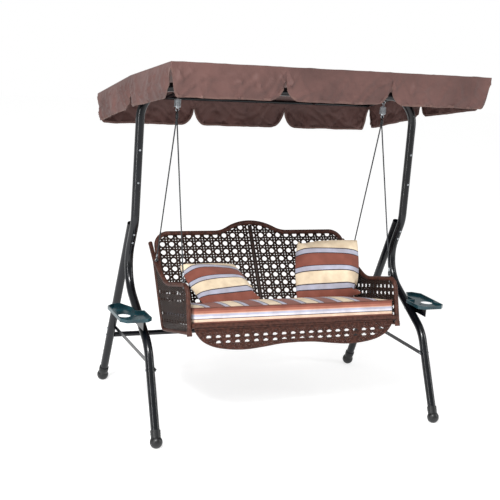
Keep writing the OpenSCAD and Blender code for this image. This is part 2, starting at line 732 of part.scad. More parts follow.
module back_center_bar() {
    top = hump_peak - hump_outer_r * (1 / cos(hump_turn) - 1);
    color(wicker) in_back() translate([0, 0, rear_rail_r + fit])
        cylinder(r = back_r - 0.5, h = top - back_r - rear_rail_r - 2 * fit);
}

function octagon(r) = [for (k = [0:7]) r / cos(22.5) * [cos(45 * k + 22.5), sin(45 * k + 22.5)]];

// Half of the back: a thin woven panel with rows of eight-sided openings
module back_weave(s) {
    top = [for (p = path_points(back_path, back_bends)) if (p[0] > 0.1) p];
    peak = hump_peak - hump_outer_r * (1 / cos(hump_turn) - 1);
    region = inset(concat([[0, 0], [back_half_w, 0]], reversed([for (p = top) if (p[1] > 0) p]),
        [[0, peak]]), panel_inset);
    heights = concat([[0, peak]], [for (p = top) if (p[0] < back_half_w - 1) p]);
    r = cane_hole_d / 2;
    color(wicker) in_back() front_on() scale_side(s) translate([0, 0, -weave_t / 2])
        linear_extrude(weave_t) difference() {
            polygon(region);
            for (col = [0:9]) for (row = [0:11])
                let (x = 68 + cane_pitch_x * col, z = 71 + cane_pitch_z * row)
                if (x + r < back_half_w - panel_inset - 4
                    && z + r + panel_inset + 5 < min(lookup(x - r, heights), lookup(x + r, heights)))
                    translate([x, z]) polygon(octagon(r));
        }
}

// Skirt below the front rail with a two-lobed lower edge and two rows of oval openings
module apron() {
    half = [[0, 115], [110, 119], [220, 132], [330, 141], [430, 136], [520, 119], [585, 88], [622, 48]];
    top = -rail_tube_r - fit;
    edge = [for (p = half) [p[0], -p[1]]];
    color(wicker_red) in_seat() front_on() translate([0, 0, -apron_t / 2]) linear_extrude(apron_t)
        difference() {
            polygon(concat([[-638, top]], [for (p = reversed(middle(concat(edge, [[0, 0]])))) [-p[0], p[1]]],
                edge, [[638, top]]));
            for (side = [-1, 1]) for (col = [0:8]) for (row = [0, 1])
                if (col < 8 || row == 0)
                    translate([side * (29 + 58.5 * col), -65 - 31 * row])
                        polygon([for (p = octagon(1)) [13 * p[0], 6 * p[1]]]);
        }
}

module seat_deck() {
    color(wicker) in_seat() translate([-deck_half_w, rail_tube_r + fit, deck_top - deck_t])
        cube([2 * deck_half_w, seat_depth - rail_tube_r - back_r - 2 * fit, deck_t]);
}

module seat_cushion() {
    back = seat_depth - 5;
    top = cushion_base + cushion_t;
    color("#c08e80") in_seat() side_on(-cushion_half_w) linear_extrude(2 * cushion_half_w) polygon([
        [4, cushion_base], [back - 12, cushion_base], [back, cushion_base + 14], [back, top - 26],
        [back - 60, top], [70, top], [-2, top - 22], [-2, cushion_base + 6]]);
}

module pillow(place, turned) {
    c = pillow_w / 2 - 14;
    color("#e8d5b0") in_seat() translate(place) rotate(turned) hull() {
        for (x = [-c, c]) for (y = [-c, c]) translate([x, y, 0]) sphere(14, $fn = 24);
        cylinder(r = 80, h = pillow_t, center = true, $fn = 32);
    }
}

top_beam();
upper_post(-1);  // upper_post_left
upper_post(1);  // upper_post_right
front_leg(-1);  // front_leg_left
front_leg(1);  // front_leg_right
rear_leg(-1);  // rear_leg_left
rear_leg(1);  // rear_leg_right
post_sleeves();
beam_sleeves();
rear_stretcher();
leg_strut(-1);  // leg_strut_left
leg_strut(1);  // leg_strut_right
foot_cap(-1, front_foot, dir2(front_foot, knee));  // foot_cap_front_left
foot_cap(1, front_foot, dir2(front_foot, knee));  // foot_cap_front_right
foot_cap(-1, rear_foot, -neck_dir);  // foot_cap_rear_left
foot_cap(1, rear_foot, -neck_dir);  // foot_cap_rear_right
tray(-1);  // tray_left
tray(1);  // tray_right
tray_bracket(-1);  // tray_bracket_left
tray_bracket(1);  // tray_bracket_right
frame_bolts();
frame_nuts();
eye_bolts();
tilt_brackets();
tilt_bolts();
canopy_end_rail(-rail_y);  // canopy_front_rail
canopy_end_rail(rail_y);  // canopy_rear_rail
canopy_side_rail(-1);  // canopy_side_rail_left
canopy_side_rail(1);  // canopy_side_rail_right
canopy_spine(-1);  // canopy_spine_left
canopy_spine(1);  // canopy_spine_right
canopy_cover();
spring_top_hooks();
spring(-1);  // spring_left
spring(1);  // spring_right
spring_bottom_hooks();
rope_head(-1);  // rope_head_left
rope_head(1);  // rope_head_right
rope(-1, -rope_spread, hold_centre(front_hold));  // front_rope_left
rope(1, -rope_spread, hold_centre(front_hold));  // front_rope_right
rope(-1, rope_spread, hold_centre(rear_hold));  // rear_rope_left
rope(1, rope_spread, hold_centre(rear_hold));  // rear_rope_right
rope_eyes();
seat_front_rail();
seat_rear_rail();
seat_cross_bars();
arm_frame(-1);  // arm_frame_left
arm_frame(1);  // arm_frame_right
side_weave(-1);  // side_weave_left
side_weave(1);  // side_weave_right
back_frame();
back_center_bar();
back_weave(-1);  // back_weave_left
back_weave(1);  // back_weave_right
apron();
seat_deck();
seat_cushion();
pillow([-335, seat_depth - 100, 226.3], [34, 0, 8]);  // pillow_left
pillow([430, seat_depth - 40, 293], [66, 0, -23]);  // pillow_right
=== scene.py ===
"""Looks of a two-seat canopy swing: gloss steel frame, draped canopy, wicker seat and striped cushions.

Lengths are in metres. X runs along the top beam, Y to the back, Z up, with the floor at Z = 0.
"""
import json
import math

import bpy
from mathutils import Matrix, Quaternion, Vector, noise


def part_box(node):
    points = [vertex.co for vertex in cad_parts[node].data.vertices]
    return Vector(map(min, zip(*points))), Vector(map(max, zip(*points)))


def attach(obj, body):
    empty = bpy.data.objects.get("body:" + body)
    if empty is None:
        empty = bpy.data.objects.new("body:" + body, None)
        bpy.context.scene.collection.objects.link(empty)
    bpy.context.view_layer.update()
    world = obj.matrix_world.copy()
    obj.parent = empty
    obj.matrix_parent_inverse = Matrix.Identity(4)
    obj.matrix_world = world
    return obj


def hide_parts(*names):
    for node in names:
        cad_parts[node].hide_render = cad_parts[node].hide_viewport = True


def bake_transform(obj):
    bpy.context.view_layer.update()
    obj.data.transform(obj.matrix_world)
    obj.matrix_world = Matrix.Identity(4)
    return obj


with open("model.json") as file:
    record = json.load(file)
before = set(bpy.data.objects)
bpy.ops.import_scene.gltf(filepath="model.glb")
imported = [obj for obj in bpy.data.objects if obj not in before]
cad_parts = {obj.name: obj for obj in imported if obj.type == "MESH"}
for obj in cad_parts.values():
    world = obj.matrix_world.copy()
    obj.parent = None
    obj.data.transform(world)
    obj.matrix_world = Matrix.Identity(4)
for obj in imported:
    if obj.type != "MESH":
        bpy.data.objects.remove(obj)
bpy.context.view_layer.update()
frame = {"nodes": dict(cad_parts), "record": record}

MM = 0.001
RECLINE = math.radians(-14)                # the seat leans back as it hangs
BACK_LEAN = math.radians(-19)              # the back leans from the seat
FRONT_RAIL = (0, -0.42, 0.63)              # middle of the seat's front rail at rest
SEAT_DEPTH = 0.49                          # from the front rail to the rear rail
SEAT = Matrix.Translation(FRONT_RAIL) @ Matrix.Rotation(RECLINE, 4, "X")
BACK = SEAT @ Matrix.Translation((0, SEAT_DEPTH, 0)) @ Matrix.Rotation(BACK_LEAN, 4, "X")
ARM_X = 0.67                               # arm tubes and ropes, from the middle
ARM_R = 0.013                              # radius of the arm tubes
BACK_R = 0.014                             # radius of the back's frame tube
BACK_HALF = ARM_X - ARM_R - 0.0005 - BACK_R
STRAND = 0.007                             # width of one strand of wrapped wicker
CANE = 0.012                               # width of one upright strand of the open back


# ---------- small helpers ----------

def link(obj):
    """Puts a new object into the scene."""
    bpy.context.scene.collection.objects.link(obj)
    return obj


def mesh_piece(name, verts, faces, material, smooth=60):
    """A new mesh object at the origin, with shading that is smooth up to an angle in degrees."""
    mesh = bpy.data.meshes.new(name)
    mesh.from_pydata([tuple(v) for v in verts], [], faces)
    mesh.validate()
    obj = link(bpy.data.objects.new(name, mesh))
    mesh.materials.append(material)
    only(obj)
    bpy.ops.object.shade_smooth_by_angle(angle=math.radians(smooth))
    return obj


def only(obj):
    """Selects one object and nothing else."""
    bpy.ops.object.select_all(action="DESELECT")
    obj.select_set(True)
    bpy.context.view_layer.objects.active = obj


def apply_modifiers(obj):
    """Fixes every modifier into the mesh, in order."""
    only(obj)
    for modifier in list(obj.modifiers):
        bpy.ops.object.modifier_apply(modifier=modifier.name)


def outward(obj, weld=0.0):
    """Turns all faces outwards, after joining points that lie closer together than weld."""
    only(obj)
    bpy.ops.object.mode_set(mode="EDIT")
    bpy.ops.mesh.select_all(action="SELECT")
    if weld:
        bpy.ops.mesh.remove_doubles(threshold=weld)
    bpy.ops.mesh.normals_make_consistent(inside=False)
    bpy.ops.object.mode_set(mode="OBJECT")


def softened(obj):
    """Rounds a piece off with one level of subdivision and smooth shading."""
    smooth = obj.modifiers.new("smooth", "SUBSURF")
    smooth.levels = smooth.render_levels = 1
    apply_modifiers(obj)
    bpy.ops.object.shade_smooth()


def grid(rows, columns, start=0):
    """Faces over points that run row by row; rows and columns count the faces each way."""
    firsts = [start + i * (columns + 1) for i in range(rows)]
    return [(a, a + columns + 1, a + columns + 2, a + 1)
            for first in firsts for a in range(first, first + columns)]


def colour(code):
    """An sRGB hex value as linear RGBA."""
    parts = [int(code[i:i + 2], 16) / 255 for i in (1, 3, 5)]
    return [c / 12.92 if c <= 0.04045 else ((c + 0.055) / 1.055) ** 2.4 for c in parts] + [1]


def node(tree, kind, inputs=None, to=None, stops=None, **settings):
    """Adds a shader node with its settings, inputs and links; stops are a ramp's places and hex colours."""
    made = tree.nodes.new(kind)
    for key, value in settings.items():
        setattr(made, key, value)
    for key, value in (inputs or {}).items():
        if isinstance(value, bpy.types.NodeSocket):
            tree.links.new(value, made.inputs[key])
        else:
            made.inputs[key].default_value = value
    for place, code in stops or ():
        made.color_ramp.elements.new(place).color = colour(code)
    if stops:
        made.color_ramp.elements.remove(made.color_ramp.elements[0])
        made.color_ramp.elements.remove(made.color_ramp.elements[-1])
    if to:
        tree.links.new(made.outputs[0], to)
    return made


def material(name, **values):
    """A material with its Principled shader, whose sockets take the values."""
    made = bpy.data.materials.new(name)
    made.use_nodes = True
    shader = made.node_tree.nodes["Principled BSDF"]
    for key, value in values.items():
        shader.inputs[key.replace("_", " ")].default_value = value
    return made, made.node_tree, shader.inputs


# ---------- materials ----------

WAVE = 0.314                               # metres across one wave of a wave texture at scale 1


def powder_coat():
    """Gloss powder coat on steel tube, blue-black, with the faint orange peel of baked powder."""
    made, tree, shader = material("gloss_powder_coat", Specular_IOR_Level=0.34, Coat_Weight=0.1,
                                  Coat_Roughness=0.06)
    place = node(tree, "ShaderNodeTexCoord").outputs["Object"]
    dust = node(tree, "ShaderNodeTexNoise", {"Vector": place, "Scale": 9, "Detail": 5}).outputs["Fac"]
    node(tree, "ShaderNodeMapRange", {"Value": dust, "To Min": 0.13, "To Max": 0.3}, shader["Roughness"])
    node(tree, "ShaderNodeValToRGB", {"Fac": dust}, shader["Base Color"],
         [(0.3, "#040609"), (0.7, "#0b0e14")])
    peel = node(tree, "ShaderNodeTexNoise", {"Vector": place, "Scale": 350, "Detail": 2}).outputs["Fac"]
    node(tree, "ShaderNodeBump", {"Height": peel, "Distance": 0.1 * MM, "Strength": 0.25}, shader["Normal"])
    return made


def zinc_plate():
    """Zinc-plated steel: bright, slightly blotched grey metal, as on bolts and springs."""
    made, tree, shader = material("zinc_plated_steel", Metallic=1.0)
    place = node(tree, "ShaderNodeTexCoord").outputs["Object"]
    blotch = node(tree, "ShaderNodeTexNoise", {"Vector": place, "Scale": 160, "Detail": 4}).outputs["Fac"]
    node(tree, "ShaderNodeValToRGB", {"Fac": blotch}, shader["Base Color"],
         [(0.35, "#84898e"), (0.65, "#c6cbcf")])
    node(tree, "ShaderNodeMapRange", {"Value": blotch, "To Min": 0.2, "To Max": 0.42}, shader["Roughness"])
    return made


def moulded_plastic(name, light, dark, roughness):
    """Injection-moulded plastic with a fine spark texture from the mould."""
    made, tree, shader = material(name, Roughness=roughness)
    place = node(tree, "ShaderNodeTexCoord").outputs["Object"]
    wear = node(tree, "ShaderNodeTexNoise", {"Vector": place, "Scale": 14, "Detail": 6}).outputs["Fac"]
    node(tree, "ShaderNodeValToRGB", {"Fac": wear}, shader["Base Color"], [(0.35, dark), (0.7, light)])
    spark = node(tree, "ShaderNodeTexNoise", {"Vector": place, "Scale": 900, "Detail": 2}).outputs["Fac"]
    node(tree, "ShaderNodeBump", {"Height": spark, "Distance": 0.08 * MM, "Strength": 0.4},
         shader["Normal"])
    return made


def woven_yarn(name, light, dark, thread):
    """Plain-woven or braided yarn, drawn with threads coarse enough to show, faded in soft clouds."""
    made, tree, shader = material(name, Roughness=0.68, Sheen_Weight=0.05, Sheen_Roughness=0.5)
    place = node(tree, "ShaderNodeTexCoord").outputs["Object"]
    cloud = node(tree, "ShaderNodeTexNoise", {"Vector": place, "Scale": 5, "Detail": 6}).outputs["Fac"]
    node(tree, "ShaderNodeValToRGB", {"Fac": cloud}, shader["Base Color"], [(0.3, dark), (0.7, light)])
    threads = [node(tree, "ShaderNodeTexWave", {"Vector": place, "Scale": WAVE / thread, "Distortion": 0.4},
                    bands_direction=axis).outputs["Fac"] for axis in "XYZ"]
    pair = node(tree, "ShaderNodeMath", {0: threads[0], 1: threads[1]}, operation="MULTIPLY").outputs[0]
    weave = node(tree, "ShaderNodeMath", {0: pair, 1: threads[2]}, operation="ADD").outputs[0]
    node(tree, "ShaderNodeBump", {"Height": weave, "Distance": 0.15 * MM, "Strength": 0.5},
         shader["Normal"])
    return made


def resin_wicker(name, light, dark):
    """Extruded resin strand: satin plastic with a drawn grain and uneven brown colour."""
    made, tree, shader = material(name, Roughness=0.45, Specular_IOR_Level=0.22)
    place = node(tree, "ShaderNodeTexCoord").outputs["Object"]
    patch = node(tree, "ShaderNodeTexNoise", {"Vector": place, "Scale": 60, "Detail": 5}).outputs["Fac"]
    node(tree, "ShaderNodeValToRGB", {"Fac": patch}, shader["Base Color"], [(0.3, dark), (0.68, light)])
    grain = node(tree, "ShaderNodeTexNoise", {"Vector": place, "Scale": 700, "Detail": 3}).outputs["Fac"]
    node(tree, "ShaderNodeBump", {"Height": grain, "Distance": 0.15 * MM, "Strength": 0.5},
         shader["Normal"])
    return made


TERRACOTTA = "#8b4e3f"
CREAM = "#f2e0c2"
LAVENDER = "#b9bccf"
DARK_LINE = "#2f2430"
REPEAT_LENGTH = 0.24                       # one repeat of the cushion cloth
# Stripes of one repeat, as (share of the repeat where the stripe starts, colour)
REPEAT = [(0.0, TERRACOTTA), (0.33, DARK_LINE), (0.352, LAVENDER), (0.476, DARK_LINE), (0.502, CREAM),
          (0.832, DARK_LINE), (0.858, LAVENDER), (0.98, DARK_LINE)]
BOXING_HEIGHT = 0.1                        # the strip round the cushion's side, along the cloth
BOXING = [(0.0, TERRACOTTA), (0.2, "#ad705d"), (0.36, "#dcb5a2"), (0.42, "#b9bbd0"), (0.56, "#dcdce8"),
          (0.70, DARK_LINE), (0.75, "#e8cbb4"), (0.93, TERRACOTTA)]


def striped_canvas(name, axis, length, stripes, shift=0.0):
    """Yarn-dyed striped cotton: stripes follow the cloth's own map, in metres, with its weave."""
    made, tree, shader = material(name, Roughness=0.8, Sheen_Weight=0.12, Sheen_Roughness=0.45)
    cloth = node(tree, "ShaderNodeUVMap", uv_map="cloth").outputs["UV"]
    along = node(tree, "ShaderNodeSeparateXYZ", {"Vector": cloth}).outputs[axis]
    share = node(tree, "ShaderNodeMath", {0: along, 1: 1 / length, 2: shift}, operation="MULTIPLY_ADD")
    place = node(tree, "ShaderNodeMath", {0: share.outputs[0]}, operation="FRACT").outputs[0]
    yarn = node(tree, "ShaderNodeValToRGB", {"Fac": place}, stops=stripes)
    yarn.color_ramp.interpolation = "CONSTANT"
    soil = node(tree, "ShaderNodeTexNoise", {"Vector": cloth, "Scale": 12, "Detail": 6}).outputs["Fac"]
    shade = node(tree, "ShaderNodeValToRGB", {"Fac": soil}, stops=[(0.3, "#d9d2cd"), (0.7, "#ffffff")])
    tone = node(tree, "ShaderNodeMix", {"Factor": 1.0, 6: yarn.outputs[0], 7: shade.outputs[0]},
                data_type="RGBA", blend_type="MULTIPLY").outputs[2]
    tree.links.new(tone, shader["Base Color"])
    warp, weft = [node(tree, "ShaderNodeTexWave", {"Vector": cloth, "Scale": WAVE / (1.2 * MM)},
                       bands_direction=way).outputs["Fac"] for way in "XY"]
    weave = node(tree, "ShaderNodeMath", {0: warp, 1: weft}, operation="MULTIPLY").outputs[0]
    node(tree, "ShaderNodeBump", {"Height": weave, "Distance": 0.2 * MM, "Strength": 0.5}, shader["Normal"])
    return made


# Tubes, rails and brackets: near black, with narrow bright streaks where the lamps reflect
STEEL = powder_coat()
# Bolts, hooks, springs and ferrules: bright grey with dull blotches
ZINC = zinc_plate()
# Ball feet: dull black polypropylene; the trays are of a glossier black plastic, whose dark blue-green
# colour is a painted reflection of the sky
FOOT = moulded_plastic("moulded_polypropylene", "#1c1e20", "#0f1011", 0.38)
TRAY_PAINTED_REFLECTION = moulded_plastic("gloss_tray_with_painted_sky_reflection", "#1b454e", "#0e2a31", 0.18)
# Plain-woven polyester, its threads drawn coarser than real ones so that they show
CANOPY = woven_yarn("woven_polyester_canopy", "#5e3f3a", "#472d29", 1.6 * MM)
TAPE = woven_yarn("woven_binding_tape", "#62463f", "#4e3631", 1.2 * MM)
# Braided cord: dark grey and dull
ROPE = woven_yarn("braided_polypropylene_rope", "#34383c", "#1e2124", 0.9 * MM)
# Extruded resin strand: satin, unevenly brown; the frame's wrapping is redder than the panels
WICKER = resin_wicker("flat_resin_wicker_brown", "#33211a", "#120b08")
WICKER_RED = resin_wicker("flat_resin_wicker_red_brown", "#58352b", "#2c1914")
# Yarn-dyed cotton canvas: matt, crisp stripes, woven across, along the pillows and on the boxing
CLOTH_ACROSS = striped_canvas("striped_cotton_across", 0, REPEAT_LENGTH, REPEAT, 0.217)
CLOTH_PILLOW = striped_canvas("striped_cotton_pillow", 1, REPEAT_LENGTH, REPEAT, 0.975)
CLOTH_BOXING = striped_canvas("striped_cotton_boxing", 1, BOXING_HEIGHT, BOXING)
PIPING = striped_canvas("cotton_piping", 0, 1.0, [(0.0, "#6b3c31"), (0.5, "#754438")])


def finish_nodes():
    """Gives every piece of the frame that stays in sight its real finish."""
    by_slot = {"black_steel": STEEL, "zinc_steel": ZINC, "black_plastic": FOOT, "tray_plastic": TRAY_PAINTED_REFLECTION,
               "rope": ROPE, "wicker_dark": WICKER, "wicker_red": WICKER_RED, "canopy_fabric": CANOPY,
               "cushion_fabric": CLOTH_ACROSS, "pillow_fabric": CLOTH_PILLOW}
    slots = {part["node"]: part["material_slot"] for part in frame["record"]["subparts"]}
    for name, obj in frame["nodes"].items():
        for slot in obj.material_slots:
            slot.material = by_slot[slots[name]]


# ---------- paths and sweeps ----------

def rounded(points, radii, step):
    """Points about every step along a flat path whose corners are rounded to the radii."""
    points = [Vector(p) for p in points]
    out = [points[0]]
    for i in range(1, len(points) - 1):
        back = (points[i - 1] - points[i]).normalized()
        ahead = (points[i + 1] - points[i]).normalized()
        half = back.angle(ahead) / 2
        if radii[i] == 0:
            out.append(points[i])
            continue
        cut = radii[i] / math.tan(half)
        centre = points[i] + (back + ahead).normalized() * radii[i] / math.sin(half)
        start, end = points[i] + back * cut - centre, points[i] + ahead * cut - centre
        turn = start.angle(end)
        steps = max(3, round(turn * radii[i] / (4 * step)))
        for k in range(steps + 1):
            share = k / steps
            way = start * math.sin((1 - share) * turn) + end * math.sin(share * turn)
            out.append(centre + way / math.sin(turn))
    out.append(points[-1])
    return even(out, step)


def even(points, step):
    """The same line with points a whole number of equal steps apart."""
    lengths = [(b - a).length for a, b in zip(points, points[1:])]
    count = max(2, round(sum(lengths) / step))
    out, i, walked = [], 0, 0.0
    for k in range(count + 1):
        want = sum(lengths) * k / count
        while i < len(lengths) - 1 and walked + lengths[i] < want:
            walked += lengths[i]
            i += 1
        share = min(1.0, (want - walked) / lengths[i]) if lengths[i] else 0
        out.append(points[i].lerp(points[i + 1], share))
    return out


def sweep(line, sides, radius, across, closed=False):
    """Vertices and faces of a tube along a line.

    radius(i, angle) gives the wall; across is a direction that stays roughly square to the line.
    """
    verts, faces = [], []
    count = len(line)
    for i, point in enumerate(line):
        ahead = line[(i + 1) % count] if closed or i < count - 1 else point
        behind = line[i - 1] if closed or i > 0 else point
        way = (ahead - behind).normalized()
        side = (across - way * across.dot(way)).normalized()
        other = way.cross(side)
        for k in range(sides):
            a = 2 * math.pi * k / sides
            verts.append(point + (side * math.cos(a) + other * math.sin(a)) * radius(i, a))
    for i in range(count if closed else count - 1):
        for k in range(sides):
            a, b = i * sides + k, i * sides + (k + 1) % sides
            c, d = ((i + 1) % count) * sides + (k + 1) % sides, ((i + 1) % count) * sides + k
            faces.append((a, b, c, d))
    if not closed:
        faces.append(tuple(range(sides - 1, -1, -1)))
        faces.append(tuple((count - 1) * sides + k for k in range(sides)))
    return verts, faces


def merged(name, parts, finish, smooth=60):
    """One piece from several (vertices, faces) pairs."""
    verts, faces = [], []
    for part_verts, part_faces in parts:
        start = len(verts)
        verts.extend(part_verts)
        faces.extend(tuple(start + i for i in face) for face in part_faces)
    return mesh_piece(name, verts, faces, finish, smooth)


RINGS = 6                                  # rings for each turn of a wrapped strand
GROOVE = 0.9 * MM                          # depth of the joint between two turns


def wrapped(line, radius, across):
    """A tube wrapped in flat strand: the wall dips at each joint between two turns."""
    def wall(i, angle):
        place = (i / RINGS + angle / (2 * math.pi)) % 1
        return radius - GROOVE * abs(2 * place - 1) ** 5
    return sweep(line, 14, wall, across)


def placed(points, matrix):
    """The points, moved by a matrix."""
    return [matrix @ Vector(p) for p in points]


def wrapped_path(points, radii, radius, matrix, across):
    """A wrapped tube along a rounded flat path, placed by a matrix."""
    line = placed(rounded(points, radii, STRAND / RINGS), matrix)
    return wrapped(line, radius, matrix.to_3x3() @ Vector(across))


def ribbon(points, across, width, thick):
    """A flat strand: a shallow six-sided section swept along points."""
    verts, faces = [], []
    section = [(-0.5, 0), (-0.32, 0.5), (0.32, 0.5), (0.5, 0), (0.32, -0.5), (-0.32, -0.5)]
    for i, point in enumerate(points):
        way = (points[min(i + 1, len(points) - 1)] - points[max(i - 1, 0)]).normalized()
        side = (across - way * across.dot(way)).normalized()
        up = way.cross(side)
        verts.extend(point + side * (a * width) + up * (b * thick) for a, b in section)
    for i in range(len(points) - 1):
        for k in range(6):
            a, b = i * 6 + k, i * 6 + (k + 1) % 6
            faces.append((b, a, a + 6, b + 6))
    faces.append(tuple(range(6)))
    faces.append(tuple(len(verts) - 1 - k for k in range(6)))
    return verts, faces


def twisted(line, lay, strand, pitch, across, count=3):
    """Strands laid round a line as a rope."""
    parts = []
    step = (line[1] - line[0]).length
    for s in range(count):
        turned = []
        for i, point in enumerate(line):
            way = (line[min(i + 1, len(line) - 1)] - line[max(i - 1, 0)]).normalized()
            side = (across - way * across.dot(way)).normalized()
            a = 2 * math.pi * (i * step / pitch + s / count)
            turned.append(point + (side * math.cos(a) + way.cross(side) * math.sin(a)) * lay)
        parts.append(sweep(turned, 7, lambda i, angle: strand, across))
    return parts


# ---------- canopy ----------

RIDGE = 1.9791                             # top face of the cover over the beam
FRONT_SLOPE = math.tan(math.radians(10.4))
REAR_SLOPE = math.tan(math.radians(13.7))
HALF_W = 0.955                             # from the middle to each side edge
REACH = 0.693                              # from the ridge to the front and rear edges
DROP = 0.176                               # depth of the valance
NOTCH = 0.066                              # its depth in the notch between two lobes
NOTCH_ROUND = 0.085                        # a lobe is fully deep this far from its notch
CORNER_CUT = 0.036                         # its depth at a corner
SHEET = 1.2 * MM                           # thickness of the cloth
CREASES = ((0.8, 1.5, 0.8), (-0.9, 2.1, 0.7))   # lean, pitch and weight of each set of creases
CREASE_LENGTH = 0.35                       # share of the pitch along a crease: less is longer
CREASE_EDGE = 4.2                          # how sharply a crease falls away to its sides


def roof(y):
    """Height of the cloth along the rails."""
    return RIDGE - y * (FRONT_SLOPE if y < 0 else REAR_SLOPE)


def fold(x, y, size, seed):
    """Soft clouds and two sets of slanting creases, the same on every run."""
    depth = 0.6 * noise.noise(Vector((x / size, y / size, seed)))
    for lean, pitch, weight in CREASES:
        across = (x + lean * y) / size * pitch
        along = (y - lean * x) / size * pitch * CREASE_LENGTH
        ridge = 1 - CREASE_EDGE * abs(noise.noise(Vector((across, along, seed + 9.3 * pitch))))
        depth += weight * max(0, ridge) ** 2
    return depth


def lobes(a, edges, starts, ends):
    """Depth of a scalloped edge at a: each lobe is rounded where it leaves its notch or its corner."""
    for left, right, start, end in zip(edges, edges[1:], starts, starts[1:]):
        if left <= a <= right:
            if a - left < right - a:
                near, top, size = a - left, start, ends[0]
            else:
                near, top, size = right - a, end, ends[1]
            if top == NOTCH:
                t = min(1, near / NOTCH_ROUND)
                return top + (DROP - top) * math.sqrt(1 - (1 - t) ** 2) ** 1.3
            t = min(1, near / size)
            return top + (DROP - top) * math.sin(math.pi / 2 * t * t * (3 - 2 * t))
    return starts[0]


def spread(edges, count):
    """Places along an edge, closer together near the notches."""
    out = []
    for a, b in zip(edges, edges[1:]):
        for k in range(count):
            t = k / count
            out.append(a + (b - a) * (0.5 - 0.5 * math.cos(math.pi * t)) * 0.6 + (b - a) * t * 0.4)
    return out + [edges[-1]]


COLUMNS = 58                               # columns of the valance in each lobe
ROWS = 20                                  # rows of the valance from its top to its edge
BELLY = 9 * MM                             # how far the valance stands out in the middle
TUCK = 10 * MM                             # how far its edge falls back in
CREASE_DEPTH = 13 * MM
CREASE_SIZE = 0.14
STITCHED = 0.07                            # the valance hangs fully free this far below its top
HEM_WAVER = 4 * MM
FRONT_EDGES = [-HALF_W, -HALF_W / 3, HALF_W / 3, HALF_W]
SIDE_EDGES = [-REACH, 0.02, REACH]


def valance(places, depth_of, top_of, out, seed, pinch):
    """Vertices and faces of one hanging panel, and the line of its lower edge."""
    verts, faces, edge = [], [], []
    for a in places:
        depth = depth_of(a)
        top = top_of(a)
        for r in range(ROWS + 1):
            d = r / ROWS
            hang = depth * d
            free = min(1, hang / STITCHED)
            belly = BELLY * math.sin(math.pi * min(1, d * 0.9)) * free - TUCK * d ** 3 * free
            crease = CREASE_DEPTH * (fold(a, hang, CREASE_SIZE, seed) - 0.35) * free
            flat = min(1, (depth - NOTCH) / 0.06 + 0.3) if depth < DROP else 1
            hem = HEM_WAVER * noise.noise(Vector((a * 9, 0, seed))) * d
            point = top - Vector((0, 0, hang + hem)) + out * ((belly + crease) * pinch(a) * flat)
            verts.append(point)
            if r == ROWS:
                edge.append(point)
    for i in range(len(places) - 1):
        for r in range(ROWS):
            a = i * (ROWS + 1) + r
            faces.append((a, a + 1, a + ROWS + 2, a + ROWS + 1))
    return verts, faces, edge


def tape(edge, out):
    """Folded binding along an edge: a narrow band that wraps under the cloth."""
    verts, faces = [], []
    section = [(2.4, 11), (2.8, -1), (0, -3), (-2.8, -1), (-2.4, 11)]
    for i, point in enumerate(edge):
        way = (edge[min(i + 1, len(edge) - 1)] - edge[max(i - 1, 0)]).normalized()
        up = out.cross(way).normalized()
        if up.z < 0:
            up = -up
        verts.extend(point + out * (a * MM) + up * (b * MM) for a, b in section)
    for i in range(len(edge) - 1):
        for k in range(5):
            a, b = i * 5 + k, i * 5 + (k + 1) % 5
            faces.append((a, b, b + 5, a + 5))
    faces.append((4, 3, 2, 1, 0))
    faces.append(tuple(len(edge) * 5 - 5 + k for k in range(5)))
    return verts, faces


def canopy():
    """One draped cover: four scalloped valances round a roof that is stretched over the rails."""
    xs = spread(FRONT_EDGES, COLUMNS)
    ys = spread(SIDE_EDGES, COLUMNS)
    front = lambda a: lobes(a, FRONT_EDGES, [CORNER_CUT, NOTCH, NOTCH, CORNER_CUT], (0.05, 0.05))
    side = lambda a: lobes(a, SIDE_EDGES, [CORNER_CUT, NOTCH, 0.03], (0.12, 0.1))
    ease_x = lambda a: min(1, (HALF_W - abs(a)) / 0.05 + 0.15)
    ease_y = lambda a: min(1, (REACH - abs(a)) / 0.05 + 0.15)
    parts, tapes = [], []
    for y, out, seed in ((-REACH, Vector((0, -1, 0)), 1.3), (REACH, Vector((0, 1, 0)), 5.1)):
        verts, faces, edge = valance(xs, front, lambda a: Vector((a, y, roof(y))), out, seed, ease_x)
        parts.append((verts, faces))
        tapes.append(tape(edge, out))
    for x, out, seed in ((-HALF_W, Vector((-1, 0, 0)), 7.7), (HALF_W, Vector((1, 0, 0)), 3.9)):
        verts, faces, edge = valance(ys, side, lambda a: Vector((x, a, roof(a))), out, seed, ease_y)
        parts.append((verts, faces))
        tapes.append(tape(edge, out))
    verts = []
    for x in xs:
        for y in ys:
            inner = min(1, (HALF_W - abs(x)) / 0.06) * min(1, (REACH - abs(y)) / 0.06)
            rim = max(0, 1 - min(HALF_W - abs(x), REACH - abs(y)) / 0.03)
            over_rail = math.exp(-(y / 0.03) ** 2)
            sag = -6 * MM * math.sin(math.pi * abs(y) / REACH) * math.cos(math.pi * x / 2 / HALF_W)
            crease = 4 * MM * fold(x, y, 0.35, 2.2) * (1 - over_rail)
            lift = inner * (sag * 0.6 + crease + 2 * MM) + 3 * MM * (1 - rim) * (1 - rim)
            verts.append(Vector((x, y, roof(y) + lift)))
    parts.append((verts, grid(len(xs) - 1, len(ys) - 1)))
    cover = merged("canopy_cloth", parts, CANOPY, 50)
    outward(cover, weld=0.5 * MM)
    wall = cover.modifiers.new("wall", "SOLIDIFY")
    wall.thickness = SHEET
    wall.offset = 0
    apply_modifiers(cover)
    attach(cover, "canopy")
    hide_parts("canopy_cover")
    binding = merged("canopy_binding", tapes, TAPE, 40)
    outward(binding)
    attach(binding, "canopy")


# ---------- woven seat ----------

